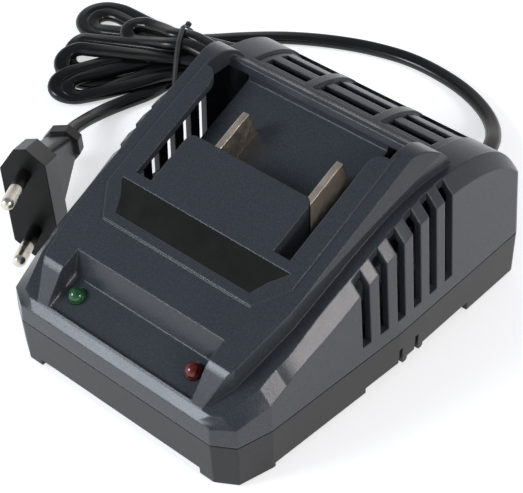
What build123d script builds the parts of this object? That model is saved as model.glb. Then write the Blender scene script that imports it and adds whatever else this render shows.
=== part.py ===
"""Power tool battery charger: a two-part moulded housing with a slide-on dock for the battery.

Millimetres, +Z up.  The body is drawn from its front edge (y = 0) and moved at the end, so that
the origin lies at the middle of the footprint, on the surface that the charger stands on.
"""
import os
from math import cos, hypot, pi, radians, sin, tan

from build123d import *

# ---------------------------------------------------------------- driving dimensions
# footprint, as half widths and depths from the front edge
body_depth = 116.7
front_half = 35.0
corner_half = 41.1
corner_depth = 3.7
shoulder_half = 43.9
shoulder_depth = 14.0
side_half = 47.1
side_depth = 62.0
rear_corner_radius = 2.6
front_corner_radius = 1.2

# heights
seam_height = 16.1
front_wall_height = 21.6
wall = 2.2
base_draft = 2.0
cover_draft = 2.6

# profile of the cover beside the dock: depth and height of its turning points
lip_chamfer_depth = 2.5
lip_chamfer_height = 2.3
ramp_slope = 0.43
ramp_end = 46.0
crest_depth = 87.0
crest_height = 52.8
tail_depth = body_depth - 4.7
tail_height = 44.2
rear_edge_height = 36.0
bevel_width = 3.4
bevel_height = 3.8
bevel_start_slope = 0.35
bevel_start_depth = 6.0
bevel_stations = (34, 48, 62, 78, body_depth - 24.7, body_depth - 12.7)
above_all = 120.0

# dock: the raised middle part that takes the battery
dock_slope = 0.414
dock_nose_half = 30.4
dock_nose_depth = 2.6
dock_cheek_half = 34.4
dock_cheek_depth = 11.0
cheek_depth = 5.9
cheek_height = 32.0
dock_half = 37.2
dock_half_depth = 30.0
dock_rear_half = 39.8
dock_rear_depth = 88.0
dock_top_half = 37.1
dock_front_height = 36.6
dock_front_depth = 16.0
dock_crown_height = 61.6
dock_crown_depth = 78.0
dock_tail_depth = 91.0
band_tilt = 20.0

# battery channel between the two rails
lip_half = 27.7
channel_front = 40.2
channel_rear = 84.0
deck_half = 22.0
deck_rear = 56.2
channel_floor_drop = 10.2
channel_floor_half = 25.0
saddle_step = 3.35
saddle_crest = 1.4
saddle_fall = 0.82
nose_inner_half = 32.5
lip_rear = 74.5
lip_rear_radius = 4.0

# indicator scoop at the front
scoop_half = 26.6
scoop_front = 3.1
scoop_floor_front = 23.0
scoop_floor_slope = 0.465
scoop_wall_foot = 13.7
scoop_wall_top = 15.9
scoop_corner_radius = 1.6

# raised panel that carries the label and the rails, and the label plate in it
panel_step = 0.5
panel_front_half = 26.7
panel_front = 25.8
panel_half = 33.4
panel_shoulder = 34.4
label_front_half = 24.2
label_front = 28.5
label_waist_half = 26.6
label_waist = 33.0
label_rear_half = 30.2
label_rear = 37.4
label_thickness = 0.8
label_clearance = 0.1

# ventilation
side_slot_count = 6
side_slot_pitch = 6.77
side_slot_width = 3.3
side_slot_front = 47.5
side_slot_foot = 20.9
side_slot_top_half = side_half - 5.2
rear_slot_count = 3
rear_slot_pitch = 6.3
rear_slot_last = 6.8
rear_slot_width = 3.0
rear_slat_recess = 0.9
rear_recess_front = 23.1
rear_recess_rear = 3.3
rear_rib_inner = 10.7
rear_rib_outer = 13.7
rear_slot_end = 30.5
rear_slot_margin = 0.6
rear_recess_end = 32.5

# joint between the two housings
rim_height = 1.8
rim_inset = 1.35
rim_clearance = 0.1
seam_reveal = 0.35
seam_reveal_depth = 0.7
boss_radius = 3.5
post_radius = 4.0
front_boss = (37.0, 24.5)
rear_boss = (40.2, body_depth - 11.1)
housing_screw_radius = 1.5
housing_screw_head_radius = 3.0
housing_screw_head_height = 2.2
housing_screw_length = 18.0
thread_clearance = 0.05
head_clearance = 0.4

# underside of the lower housing
pad_height = 1.2
front_skirt_height = 3.4
side_skirt_height = 2.5
base_height = 4.3
pad_inner_half = 30.0
front_pad_end = 15.0
side_skirt_end = 49.0
rear_pad_start = body_depth - 23.7
skirt_width = 3.0
side_skirt_inset = 7.0
lug_front = (63.5, 70.4)
lug_depth = 2.3
lug_width = 3.0
lug_foot = 2.8
notch_depth = 1.5
notch_top = 9.2
notch_reach = 1.0
foot_radius = 5.0
foot_pocket = 1.0
front_foot = (35.5, 8.6)
rear_foot = (40.0, body_depth - 10.7)
base_floor_top = 6.7

# indicators
led_half_pitch = 21.55
led_depth = 9.5
led_radius = 2.5
led_proud = 3.0
led_flange_radius = 2.9
led_flange_height = 1.0
led_collar_radius = 3.9
led_collar_height = 2.4
led_lead_radius = 0.3
led_lead_half_pitch = 1.27
led_clearance = 0.1

# contact blades and the terminal block under the channel floor
blade_thickness = 2.0
blade_centres = (-12.0, 21.0)
blade_front = 55.0
blade_rear_top = 68.1
blade_rear_foot = 71.3
blade_shoulder = 2.5
blade_top_drop = 0.2
blade_clearance = 0.15
tang_front = 59.0
tang_rear = 67.0
tang_below_block = 1.2
block_front = 57.0
block_rear = 71.0
block_height = 7.0
block_overhang = 3.0

# circuit board
board_height = 11.0
board_thickness = 1.6
board_half = 35.0
board_front = 34.0
board_rear = body_depth - 24.7
board_tongue_half = 30.0
board_tongue_front = 12.0
standoff_radius = 3.0
standoffs = ((26.5, 22.0), (31.0, board_rear - 4.5))
board_screw_radius = 1.25
board_screw_head_radius = 2.4
board_screw_head_height = 1.6
board_screw_length = 5.5

# components on the board: place in plan, then width, depth and height or radius
board_top = board_height + board_thickness
transformer_place = (-4.0, 48.0)
transformer_size = (27.0, 15.0, 18.0)
core_limb = 6.0
bobbin_wall = 1.0
winding_clearance = 0.2
input_capacitor_place = (-22.0, 77.0)
input_capacitor_size = (8.0, 25.0)
output_capacitor_places = ((-24.0, 46.0), (-24.0, 58.5))
output_capacitor_size = (5.0, 16.0)
film_capacitor_place = (7.0, board_rear - 8.6)
film_capacitor_size = (6.0, 13.0, 11.0)
bridge_place = (13.6, board_rear - 13.6)
bridge_size = (5.0, 12.0, 10.0)
choke_place = (-4.0, 75.0)
choke_size = (5.0, 2.4)
sink_place = (21.5, 50.0)
sink_size = (21.0, 9.0, 17.0)
sink_plate = 2.0
sink_fin = 1.2
sink_fin_pitch = 3.6
transistor_place = (16.0, 50.0)
rectifier_place = (27.0, 50.0)
package_width = 10.0
package_depth = 4.4
package_height = 9.0
package_lead = 4.0
package_pitch = 2.54
package_tab = 1.3
package_tab_height = 6.0
fuse_place = (28.0, 74.0)
fuse_size = (20.0, 2.6)
chip_place = (0.0, 22.0)
chip_size = (10.0, 6.5, 3.3)
chip_leg_pitch = 2.54
optocoupler_place = (24.0, 38.0)
optocoupler_size = (4.6, 6.5, 3.5)
resistor_place = (12.0, 26.0)
resistor_pitch = 3.0
resistor_count = 4
output_wire_radius = 0.9
output_wire_drop = 5.0
output_wire_reach = 8.0

# mains cord, its strain relief and its clamp
cord_width = 5.2
core_radius = 0.9
core_half_pitch = 1.2
core_spread = 2.2
inlet_place = (21.0, 11.0)
inlet_radius = 3.9
wall_outside = body_depth - (seam_height - inlet_place[1]) * tan(radians(base_draft))
relief_direction = (-0.22, 1.0, -0.1)
relief_root_radius = 5.0
relief_tip_radius = 3.5
relief_length = 22.0
relief_collar = 2.0
relief_neck_clearance = 0.1
relief_seat = 0.2
relief_rib_count = 4
relief_rib_pitch = 4.0
relief_rib_gap = 1.6
relief_rib_depth = 0.6
sheath_end = body_depth - 15.2
clamp_depth = body_depth - 10.2
clamp_width = 6.0
clamp_height = 3.4
clamp_gap = 0.4
clamp_post_radius = 2.5
clamp_screw_offset = 6.6
clamp_screw_margin = 3.0
clamp_screw_length = 8.0

# hank and its tie
hank_height = 12.0
hank_corner_radius = 6.0
cord_tie_thickness = 0.8
cord_tie_width = 2.2
tie_place = (-96.7, 126.7)
tie_span = 31.0
tie_turn = 33.0
tie_floor = 0.05

# mains plug: the face's middle, the way its pins point and the way its thickness runs
plug_place = (-68.2, 33.3, 17.5)
plug_pin_direction = (0.537, -0.818, 0.208)
plug_thickness_direction = (-0.825, -0.562, -0.109)
plug_width = 35.3
plug_thickness = 13.7
plug_straight = 24.0
plug_tip_half = 1.8
plug_head_length = 12.0
plug_head_rear = (30.3, 13.5)
plug_waist_end = 34.5
plug_waist_section = (10.4, 23.0)
plug_neck_section = (9.4, 9.6)
plug_collar_section = (12.0, 11.4)
plug_collar_corner = 3.4
plug_collar_shoulder = 1.2
plug_collar_end = 0.8
plug_length = 41.2
plug_pin_pitch = 18.6
plug_pin_radius = 2.0
plug_pin_length = 19.0
plug_sleeve_length = 9.0
pin_core_radius = 1.4
pin_root = 9.0
bridge_depth = 7.5
bridge_length = 5.0
bridge_width = 26.0
bridge_thickness = 7.0


def top_height(depth):
    """Height of the dock's sloping top plane at a depth from the front edge."""
    return dock_front_height + dock_slope * (depth - dock_front_depth)


def floor_height(depth):
    """Height of the channel floor, which runs parallel to the dock's top."""
    return top_height(depth) - channel_floor_drop


def saddle_height():
    """Height of the low crest that closes the channel behind its floor."""
    return floor_height(channel_rear) + saddle_step


def ramp_height(depth):
    """Height of the straight part of the cover's upper edge beside the dock."""
    start = front_wall_height + lip_chamfer_height
    return start + ramp_slope * (depth - lip_chamfer_depth)


def mirrored(points):
    """A closed outline from the points of its right half, front to rear."""
    left = [(-x, y) for x, y in reversed(points)]
    return make_face(Polyline(*points, *left, close=True))


def side_face(points):
    """A face in the plane of symmetry from (depth, height) points."""
    return Plane.YZ * make_face(Polyline(*points, close=True))


def across(face, half):
    """The solid that a face in the plane of symmetry sweeps to both sides."""
    return extrude(face, half, both=True)


def box(x0, x1, y0, y1, z0, z1):
    """A box from its lowest to its highest corner."""
    return Pos(x0, y0, z0) * Box(x1 - x0, y1 - y0, z1 - z0, align=(Align.MIN,) * 3)


def both_sides(shape):
    return [shape, mirror(shape, Plane.YZ)]


# ---------------------------------------------------------------- housing outlines
def footprint(inset=0.0):
    outline = mirrored([
        (front_half, 0),
        (corner_half, corner_depth),
        (shoulder_half, shoulder_depth),
        (side_half, side_depth),
        (side_half, body_depth),
    ])
    corners = outline.vertices()
    rear = corners.filter_by_position(Axis.Y, body_depth - 1, body_depth + 1)
    outline = fillet(rear, rear_corner_radius)
    front = outline.vertices().filter_by_position(Axis.Y, -1, corner_depth + 1)
    outline = fillet(front, front_corner_radius)
    return offset(outline, -inset) if inset else outline


def cover_crest(inset=0.0):
    """The curved part of the cover's upper edge, from the ramp over the crest to the rear wall."""
    return Spline(
        (ramp_end, ramp_height(ramp_end) - inset * hypot(1, ramp_slope)),
        (crest_depth, crest_height - inset),
        (tail_depth - 0.67 * inset, tail_height - 0.74 * inset),
        (body_depth - inset, rear_edge_height - 0.35 * inset),
        tangents=[(1, ramp_slope), (0.35, -1)],
    )


def cover_height(depth):
    """Height of the cover's upper edge at a depth from the front edge."""
    if depth < lip_chamfer_depth:
        return front_wall_height + lip_chamfer_height * depth / lip_chamfer_depth
    if depth < ramp_end:
        return ramp_height(depth)
    low, high = 0.0, 1.0
    crest = cover_crest()
    for _ in range(30):
        middle = (low + high) / 2
        low, high = (middle, high) if (crest @ middle).X < depth else (low, middle)
    return (crest @ low).Y


def wall_half(depth):
    """Half width of the footprint at a depth from the front edge."""
    if depth < corner_depth:
        return front_half + (corner_half - front_half) * depth / corner_depth
    if depth < shoulder_depth:
        share = (depth - corner_depth) / (shoulder_depth - corner_depth)
        return corner_half + (shoulder_half - corner_half) * share
    share = min(1.0, (depth - shoulder_depth) / (side_depth - shoulder_depth))
    return shoulder_half + (side_half - shoulder_half) * share


def cover_profile(inset=0.0):
    """The cover seen from the side, or its inside at an inset."""
    drop = inset * hypot(1, ramp_slope)
    front_top = (inset, front_wall_height - 0.6 * inset)
    lip_depth = lip_chamfer_depth + 0.6 * inset
    lip = (lip_depth, ramp_height(lip_depth) - drop)
    ramp = (ramp_end, ramp_height(ramp_end) - drop)
    rear_top = (body_depth - inset, rear_edge_height - 0.35 * inset)
    edges = [
        Line((inset, 0), front_top),
        Line(front_top, lip),
        Line(lip, ramp),
        cover_crest(inset),
        Line(rear_top, (body_depth - inset, 0)),
        Line((body_depth - inset, 0), (inset, 0)),
    ]
    return Plane.YZ * make_face(edges)


def bevel_section(depth, inset):
    """The triangle that the side bevel takes off the cover, in a plane across it."""
    start = max(depth, 0.0)
    side = wall_half(start) - (cover_height(start) - seam_height) * tan(radians(cover_draft))
    top = Vector(min(front_half + bevel_start_slope * start, side - bevel_width), cover_height(start))
    foot = Vector(side, cover_height(start) - bevel_height * min(1.0, start / bevel_start_depth))
    along = (foot - top).normalized() if start else Vector(0.7, -0.7)
    inward = Vector(along.Y, -along.X) * inset
    high = top - along * 4 + inward
    low = foot + along * 4 + inward
    corner = (low.X + 6, high.Y + 6)
    plane = Plane(origin=(0, depth, 0), x_dir=(1, 0, 0), z_dir=(0, -1, 0))
    return plane * make_face(Polyline((high.X, high.Y), (low.X, low.Y), corner, close=True))


def bevel_cutters(inset=0.0):
    meeting = shoulder_depth + 6
    nose_stations = (-1, 0.01, corner_depth, shoulder_depth, meeting)
    nose = loft([bevel_section(d, inset) for d in nose_stations], ruled=True)
    rest = loft([bevel_section(d, inset) for d in (meeting, *bevel_stations, body_depth + 1)])
    return both_sides(nose) + both_sides(rest)


def cover_body(inset=0.0):
    """The cover's outer body without the dock, or its inside at an inset."""
    start = seam_height - inset
    prism = Pos(0, 0, start) * extrude(footprint(inset), dock_crown_height, taper=cover_draft)
    body = prism & across(cover_profile(inset), side_half + 10)
    return body - bevel_cutters(inset)


# ---------------------------------------------------------------- dock
def dock_profile(inset=0.0):
    """The dock seen from the side: cheeks, sloping top, rail crown and the fall behind it."""
    front = dock_nose_depth + inset
    drop = inset * hypot(1, dock_slope)
    foot = (front, cover_height(dock_nose_depth) - 0.5 * inset)
    cheek = (dock_nose_depth + cheek_depth + 0.82 * inset, cheek_height - 0.57 * inset)
    slope_start = dock_front_depth + 2.0
    start = (slope_start, top_height(slope_start) - drop)
    slope_end = dock_crown_depth - 5.0
    end = (slope_end, top_height(slope_end) - drop)
    crown = (dock_crown_depth, dock_crown_height - inset)
    nose = (dock_crown_depth + 5.5 - 0.41 * inset, dock_crown_height - 0.9 - 0.91 * inset)
    tail = (dock_tail_depth - 0.94 * inset, saddle_height() - 5.0 - 0.33 * inset)
    edges = [
        Line((front, 0), foot),
        Line(foot, cheek),
        Spline(cheek, start, tangents=[(cheek[0] - foot[0], cheek[1] - foot[1]), (1, dock_slope)]),
        Line(start, end),
        Spline(end, crown, nose, tangents=[(1, dock_slope), (1, -0.45)]),
        Spline(nose, tail, tangents=[(1, -0.45), (0.35, -1)]),
        Line(tail, (tail[0], 0)),
        Line((tail[0], 0), (front, 0)),
    ]
    return Plane.YZ * make_face(edges)


def dock_plan(inset=0.0):
    outline = mirrored([
        (dock_nose_half, 0),
        (dock_nose_half, dock_nose_depth),
        (dock_cheek_half, dock_cheek_depth),
        (dock_half, dock_half_depth),
        (dock_rear_half, dock_rear_depth),
        (dock_rear_half, body_depth - wall),
    ])
    return offset(outline, -inset) if inset else outline


def band_cutters(inset=0.0):
    """The slanted band along the outside of each rail: what lies above a plane through its top edge."""
    slope = Vector(0, 1, dock_slope).normalized()
    edge = Vector(dock_top_half - inset, 0, top_height(0))
    outward = Vector(sin(radians(band_tilt)), 0, -cos(radians(band_tilt)))
    plane = Plane(origin=edge, x_dir=slope, z_dir=outward.cross(slope))
    size = 2 * body_depth
    cutter = plane * Pos(0, 0, size / 2) * Box(size, size, size)
    return both_sides(cutter)


def saddle_cutter(inset=0.0):
    """The low crest between the rails' noses, which falls away to the rear grille."""
    crest = channel_rear + saddle_crest
    rear = body_depth + 5
    points = [
        (channel_rear, saddle_height() - inset),
        (crest, saddle_height() - inset),
        (rear, saddle_height() - inset - saddle_fall * (rear - crest)),
        (rear, above_all),
        (lip_rear, above_all),
        (lip_rear, saddle_height() - inset),
    ]
    return across(side_face(points), nose_inner_half + inset)


def dock_body(inset=0.0):
    prism = Pos(0, 0, seam_height - inset) * extrude(dock_plan(inset), above_all)
    body = prism & across(dock_profile(inset), side_half)
    body -= band_cutters(inset)
    return body - saddle_cutter(inset)


# ---------------------------------------------------------------- openings of the cover
def channel_cut():
    """The space between the rails, above the channel floor: it widens behind the rails' rounded ends."""
    outline = mirrored([
        (lip_half, channel_front),
        (lip_half, lip_rear),
        (nose_inner_half, lip_rear),
        (nose_inner_half, channel_rear),
    ])
    ends = outline.vertices().filter_by_position(Axis.Y, lip_rear - 0.1, lip_rear + 0.1)
    lip_ends = [v for v in ends if abs(v.X) < lip_half + 0.1]
    outline = fillet(lip_ends, lip_rear_radius)
    rear_wall = 1.2
    points = [
        (channel_front, floor_height(channel_front) - 8),
        (channel_rear - rear_wall, floor_height(channel_rear) - 8),
        (channel_rear - rear_wall, floor_height(channel_rear)),
        (channel_rear, saddle_height() + 0.01),
        (channel_rear, above_all),
        (channel_front, above_all),
    ]
    return extrude(outline, above_all) & across(side_face(points), side_half)


def deck():
    """The raised deck in the front of the channel and the floor behind it, as one ribbed tongue."""
    front = channel_front - 3.0
    thick = wall
    top = [
        (front, top_height(front)),
        (deck_rear, top_height(deck_rear)),
        (deck_rear, floor_height(deck_rear) - thick),
        (front, floor_height(front) - thick),
    ]
    block = across(side_face(top), deck_half)
    edges = block.edges().filter_by(Axis.Z).filter_by_position(Axis.Y, deck_rear - 0.5, deck_rear + 0.5)
    block = fillet(edges, 2.5)
    hollow = [
        (front - 1, top_height(front - 1) - thick),
        (deck_rear - thick, top_height(deck_rear - thick) - thick),
        (deck_rear - thick, floor_height(deck_rear) - thick - 9),
        (front - 1, floor_height(front) - thick - 9),
    ]
    block -= across(side_face(hollow), deck_half - thick)
    plate = [
        (deck_rear - thick, floor_height(deck_rear - thick)),
        (channel_rear - 1.0, floor_height(channel_rear - 1.0)),
        (channel_rear, saddle_height()),
        (channel_rear + saddle_crest, saddle_height()),
        (channel_rear + saddle_crest + 2, saddle_height() - 1.64),
        (channel_rear + saddle_crest + 2, floor_height(channel_rear) - thick),
        (channel_rear - 1.0, floor_height(channel_rear - 1.0) - thick),
        (deck_rear - thick, floor_height(deck_rear - thick) - thick),
    ]
    return block + across(side_face(plate), channel_floor_half)


def scoop_floor(depth):
    """Height of the scoop's floor at a depth from the front edge."""
    return scoop_floor_front + scoop_floor_slope * (depth - lip_chamfer_depth)


def scoop_cut(grow=0.0):
    """The scoop that holds the two indicators, or its shell grown by a wall thickness."""
    drop = grow * 0.9
    back = grow * 0.7
    points = [
        (scoop_front - 4 * grow, scoop_floor(scoop_front - 4 * grow) - drop),
        (scoop_wall_foot + back, scoop_floor(scoop_wall_foot) - drop),
        (scoop_wall_top + back, top_height(scoop_wall_top)),
        (scoop_wall_top + back, above_all),
        (scoop_front - 4 * grow, above_all),
    ]
    half = scoop_half + grow
    cut = across(side_face(points), half)
    middle = (points[0][1] + points[1][1]) / 2
    corners = cut.edges().filter_by_position(Axis.Z, middle - 0.1, middle + 0.1)
    outer = [e for e in corners if abs(abs(e.center().X) - half) < 0.01]
    return fillet(outer, scoop_corner_radius + grow)


def panel_outline():
    """The raised panel on the dock's top, in plan."""
    return mirrored([
        (panel_front_half, panel_front),
        (panel_half, panel_shoulder),
        (panel_half, body_depth),
    ])


def panel_step_cut():
    """What stands above the dock's lower surface around the raised panel."""
    front = dock_front_depth - 6
    rear = dock_crown_depth + 8
    points = [
        (front, top_height(front) - panel_step),
        (rear, top_height(rear) - panel_step),
        (rear, above_all),
        (front, above_all),
    ]
    return across(side_face(points), body_depth) - extrude(panel_outline(), above_all)


def label_outline(clearance=0.0):
    outline = mirrored([
        (label_front_half, label_front),
        (label_waist_half, label_waist),
        (label_rear_half, label_rear),
    ])
    return offset(outline, -clearance, kind=Kind.INTERSECTION) if clearance else outline


def label_slab(clearance=0.0):
    """The label plate's solid, sunk flush into the dock's sloping top."""
    front = label_front - 5
    rear = label_rear + 5
    points = [
        (front, top_height(front)),
        (rear, top_height(rear)),
        (rear, top_height(rear) - label_thickness),
        (front, top_height(front) - label_thickness),
    ]
    return across(side_face(points), dock_half) & extrude(label_outline(clearance), above_all)


def side_slot_cuts():
    """The six slots in each flank, from the foot of the wall up to the bevel's upper edge."""
    cuts = []
    for number in range(side_slot_count):
        front = side_slot_front + number * side_slot_pitch
        rear = front + side_slot_width
        cut = box(side_slot_top_half, side_half + 5, front, rear, side_slot_foot, above_all)
        cuts += both_sides(cut)
    return cuts


def rear_columns(end):
    """Left and right limits of the grille's three columns."""
    return ((-end, -rear_rib_outer), (-rear_rib_inner, rear_rib_inner), (rear_rib_outer, end))


def rear_recess():
    """Shallow recesses around the slats, following the cover's curved top."""
    front = body_depth - rear_recess_front
    rear = body_depth - rear_recess_rear
    blocks = [
        box(x0, x1, front, rear, rear_edge_height - 2, above_all)
        for x0, x1 in rear_columns(rear_recess_end)
    ]
    return Part() + blocks - cover_body(rear_slat_recess)


def rear_slot_cuts():
    half = rear_slot_width / 2
    low = rear_edge_height - 2
    last = body_depth - rear_slot_last
    rows = [last - number * rear_slot_pitch for number in range(rear_slot_count)]
    return [
        box(x0 + rear_slot_margin, x1 - rear_slot_margin, depth - half, depth + half, low, above_all)
        for depth in rows
        for x0, x1 in rear_columns(rear_slot_end)
    ]


# ---------------------------------------------------------------- places shared by several pieces
def corner_places(front, rear):
    """Four mirrored places from the right front and right rear ones."""
    return [(side * x, y) for x, y in (front, rear) for side in (-1, 1)]


def led_plane(side):
    """The plane of the scoop's floor at an indicator, with its normal outward."""
    normal = Vector(0, -scoop_floor_slope, 1)
    origin = (side * led_half_pitch, led_depth, scoop_floor(led_depth))
    return Plane(origin=origin, x_dir=(1, 0, 0), z_dir=normal)


def cylinder(x, y, z0, z1, radius):
    return Pos(x, y, z0) * Cylinder(radius, z1 - z0, align=(Align.CENTER, Align.CENTER, Align.MIN))


def along_depth(x, z, y0, y1, radius):
    """A cylinder along Y from one depth to another."""
    return Pos(x, y1, z) * Rot(90, 0, 0) * cylinder(0, 0, 0, y1 - y0, radius)


def block_outline():
    """Side outline of the terminal block under the sloping channel floor."""
    return [
        (block_front, floor_height(block_front) - wall),
        (block_rear, floor_height(block_rear) - wall),
        (block_rear, floor_height(block_rear) - wall - block_height),
        (block_front, floor_height(block_front) - wall - block_height),
    ]


def tang_foot():
    """Height of the lower end of the blades' tangs, just below the terminal block."""
    return floor_height(tang_front) - wall - block_height - tang_below_block


def blade(centre, clearance=0.0):
    """A contact blade: its tab in the channel and the tang that goes down into the block."""
    front, foot = blade_front - clearance, blade_rear_foot + clearance
    tab = [
        (front, top_height(front) - blade_top_drop),
        (blade_rear_top - blade_shoulder, top_height(blade_rear_top - blade_shoulder) - blade_top_drop),
        (blade_rear_top, saddle_height() - blade_top_drop),
        (foot, floor_height(foot)),
        (front, floor_height(front)),
    ]
    front, rear = tang_front - clearance, tang_rear + clearance
    deepest = tang_foot() - clearance
    tang = [
        (front, floor_height(front)),
        (rear, floor_height(rear)),
        (rear, deepest),
        (front, deepest),
    ]
    half = blade_thickness / 2 + clearance
    return Pos(centre, 0, 0) * (across(side_face(tab), half) + across(side_face(tang), half))


# ---------------------------------------------------------------- housings
def build_upper_housing():
    outer = cover_body() + dock_body()
    inside = cover_body(wall) + dock_body(wall)
    outer -= scoop_cut()
    outer -= panel_step_cut()
    outer -= rear_recess()
    inside -= scoop_cut(wall)
    rim_space = extrude(footprint(rim_inset - rim_clearance), rim_height + 2 * rim_clearance)
    cover = outer - inside
    cover -= Pos(0, 0, seam_height) * rim_space
    cover -= channel_cut()
    cover += deck()
    bosses = [
        cylinder(x, y, seam_height, crest_height, boss_radius)
        for x, y in corner_places(front_boss, rear_boss)
    ]
    envelope = cover_body(wall / 2) + dock_body(wall / 2)
    cover += [boss & envelope for boss in bosses]
    collar_low = -wall - led_collar_height
    for side in (-1, 1):
        plane = led_plane(side)
        collar = plane * cylinder(0, 0, collar_low, -wall / 2, led_collar_radius)
        cover += collar
        cover -= plane * cylinder(0, 0, collar_low - 1, led_proud + 1, led_radius + led_clearance)
    cover -= label_slab()
    cover -= side_slot_cuts()
    cover -= rear_slot_cuts()
    cover -= [blade(centre, blade_clearance) for centre in blade_centres]
    for x, y in corner_places(front_boss, rear_boss):
        top = base_height + housing_screw_head_height + housing_screw_length + 1
        cover -= cylinder(x, y, seam_height - 1, top, housing_screw_radius + thread_clearance)
    return cover


def base_half(height):
    """Half width of the lower housing behind its shoulders, at a height."""
    return side_half - (seam_height - height) * tan(radians(base_draft))


def lugs(front):
    """A short lug on the lower edge of each flank."""
    outside = base_half(base_height) - 0.1
    lug = box(outside - lug_width, outside, front, front + lug_depth, lug_foot, base_height + 1)
    return both_sides(chamfer(lug.edges().filter_by(Axis.X).group_by(Axis.Z)[0], 0.6))


def notches(front):
    """The narrow notch in each flank in front of a lug."""
    inside = base_half(notch_top) - notch_reach
    return both_sides(box(inside, side_half + 5, front - notch_depth, front, 0, notch_top))


def build_lower_housing():
    shell = Pos(0, 0, seam_height) * extrude(footprint(), -(seam_height - pad_height), taper=base_draft)
    reveal = extrude(footprint() - footprint(seam_reveal_depth), -seam_reveal)
    shell -= Pos(0, 0, seam_height) * reveal
    reach = side_half + 5
    inner = side_half - side_skirt_inset
    under = [
        box(-pad_inner_half, pad_inner_half, -1, front_pad_end, 0, front_skirt_height),
        box(-reach, reach, front_pad_end, side_skirt_end, 0, side_skirt_height),
        box(-reach, reach, side_skirt_end, rear_pad_start, 0, base_height),
        box(-pad_inner_half, pad_inner_half, rear_pad_start, body_depth + 1, 0, base_height),
        box(-pad_inner_half, pad_inner_half, skirt_width + 1, front_pad_end, 0, base_height),
        box(-inner, inner, front_pad_end, side_skirt_end, 0, base_height),
    ]
    shell -= under
    floor_inset = wall + (seam_height - base_floor_top) * tan(radians(base_draft))
    cavity = extrude(footprint(floor_inset), seam_height - base_floor_top + 1, taper=-base_draft)
    shell -= Pos(0, 0, base_floor_top) * cavity
    rim = extrude(footprint(rim_inset) - footprint(wall), rim_height + 1)
    shell += Pos(0, 0, seam_height - 1) * rim
    for x, y in corner_places(front_boss, rear_boss):
        shell += cylinder(x, y, base_height, seam_height, post_radius)
    for x, y in corner_places(*standoffs):
        shell += cylinder(x, y, base_floor_top - 1, board_height, standoff_radius)
    for x, y in corner_places(front_boss, rear_boss):
        head_top = base_height + housing_screw_head_height
        shell -= cylinder(x, y, 0, head_top, housing_screw_head_radius + head_clearance)
        shell -= cylinder(x, y, 0, seam_height + 1, housing_screw_radius + head_clearance)
    for x, y in corner_places(*standoffs):
        shell -= cylinder(x, y, base_floor_top, board_height + 1, board_screw_radius + thread_clearance)
    for x, y in corner_places(front_foot, rear_foot):
        shell -= cylinder(x, y, 0, pad_height + foot_pocket, foot_radius)
    for front in lug_front:
        shell += lugs(front)
        shell -= notches(front)
    x, z = inlet_place
    for place in clamp_places():
        post_top = z + clamp_gap
        shell += cylinder(*place, base_floor_top - 1, post_top, clamp_post_radius)
        shell -= cylinder(*place, base_floor_top, post_top + 1, board_screw_radius + thread_clearance)
    return shell - along_depth(x, z, wall_outside - 2 * wall, body_depth + 1, inlet_radius)


# ---------------------------------------------------------------- pieces on the housings
def build_label_plate():
    return label_slab(label_clearance)


def build_rubber_feet():
    return Part() + [
        cylinder(x, y, 0, pad_height + foot_pocket, foot_radius)
        for x, y in corner_places(front_foot, rear_foot)
    ]


def screw(x, y, head_low, head_radius, head_height, radius, length, point_up=True):
    """A pan-head screw with a cross recess; the head lies below a shank that points up, or above it."""
    head = cylinder(0, 0, 0, head_height, head_radius)
    head = chamfer(head.edges().group_by(Axis.Z)[0], head_height * 0.25)
    head -= Pos(0, 0, head_height * 0.25) * Box(head_radius * 1.1, head_radius * 0.25, head_height * 0.5)
    head -= Pos(0, 0, head_height * 0.25) * Box(head_radius * 0.25, head_radius * 1.1, head_height * 0.5)
    shank = cylinder(0, 0, head_height, head_height + length - radius, radius)
    shank += Pos(0, 0, head_height + length - radius) * Cone(
        radius, radius * 0.3, radius, align=(Align.CENTER, Align.CENTER, Align.MIN)
    )
    piece = head + shank
    if not point_up:
        piece = Pos(0, 0, head_height) * Rot(180, 0, 0) * piece
    return Pos(x, y, head_low) * piece


def build_housing_screws():
    return Part() + [
        screw(x, y, base_height, housing_screw_head_radius, housing_screw_head_height,
              housing_screw_radius, housing_screw_length)
        for x, y in corner_places(front_boss, rear_boss)
    ]


def build_terminal_block():
    half = (blade_centres[1] - blade_centres[0] + blade_thickness) / 2 + block_overhang
    middle = sum(blade_centres) / 2
    block = Pos(middle, 0, 0) * across(side_face(block_outline()), half)
    for centre in blade_centres:
        block -= blade(centre, blade_clearance)
    return block


# ---------------------------------------------------------------- indicators
def build_led(side):
    plane = led_plane(side)
    low = -wall - led_collar_height - led_flange_height
    flange = cylinder(0, 0, low, low + led_flange_height, led_flange_radius)
    barrel = cylinder(0, 0, low, led_proud - led_radius, led_radius)
    dome = Pos(0, 0, led_proud - led_radius) * Sphere(led_radius)
    return plane * (flange + barrel + dome)


def above_board():
    return box(-side_half, side_half, 0, board_rear, board_top, above_all)


def build_led_leads():
    leads = []
    for side in (-1, 1):
        for lead in (-1, 1):
            low = -wall - led_collar_height - led_flange_height
            wire = led_plane(side) * cylinder(lead * led_lead_half_pitch, 0, -30, low, led_lead_radius)
            leads.append(wire & above_board())
    return Part() + leads


# ---------------------------------------------------------------- circuit board and its components
def build_circuit_board():
    outline = mirrored([
        (board_tongue_half, board_tongue_front),
        (board_tongue_half, board_front),
        (board_half, board_front),
        (board_half, board_rear),
    ])
    board = Pos(0, 0, board_height) * extrude(outline, board_thickness)
    for x, y in corner_places(*standoffs):
        board -= cylinder(x, y, 0, board_top + 1, board_screw_radius + head_clearance)
    return board


def build_board_screws():
    return Part() + [
        screw(x, y, board_top, board_screw_head_radius, board_screw_head_height,
              board_screw_radius, board_screw_length, point_up=False)
        for x, y in corner_places(*standoffs)
    ]


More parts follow.
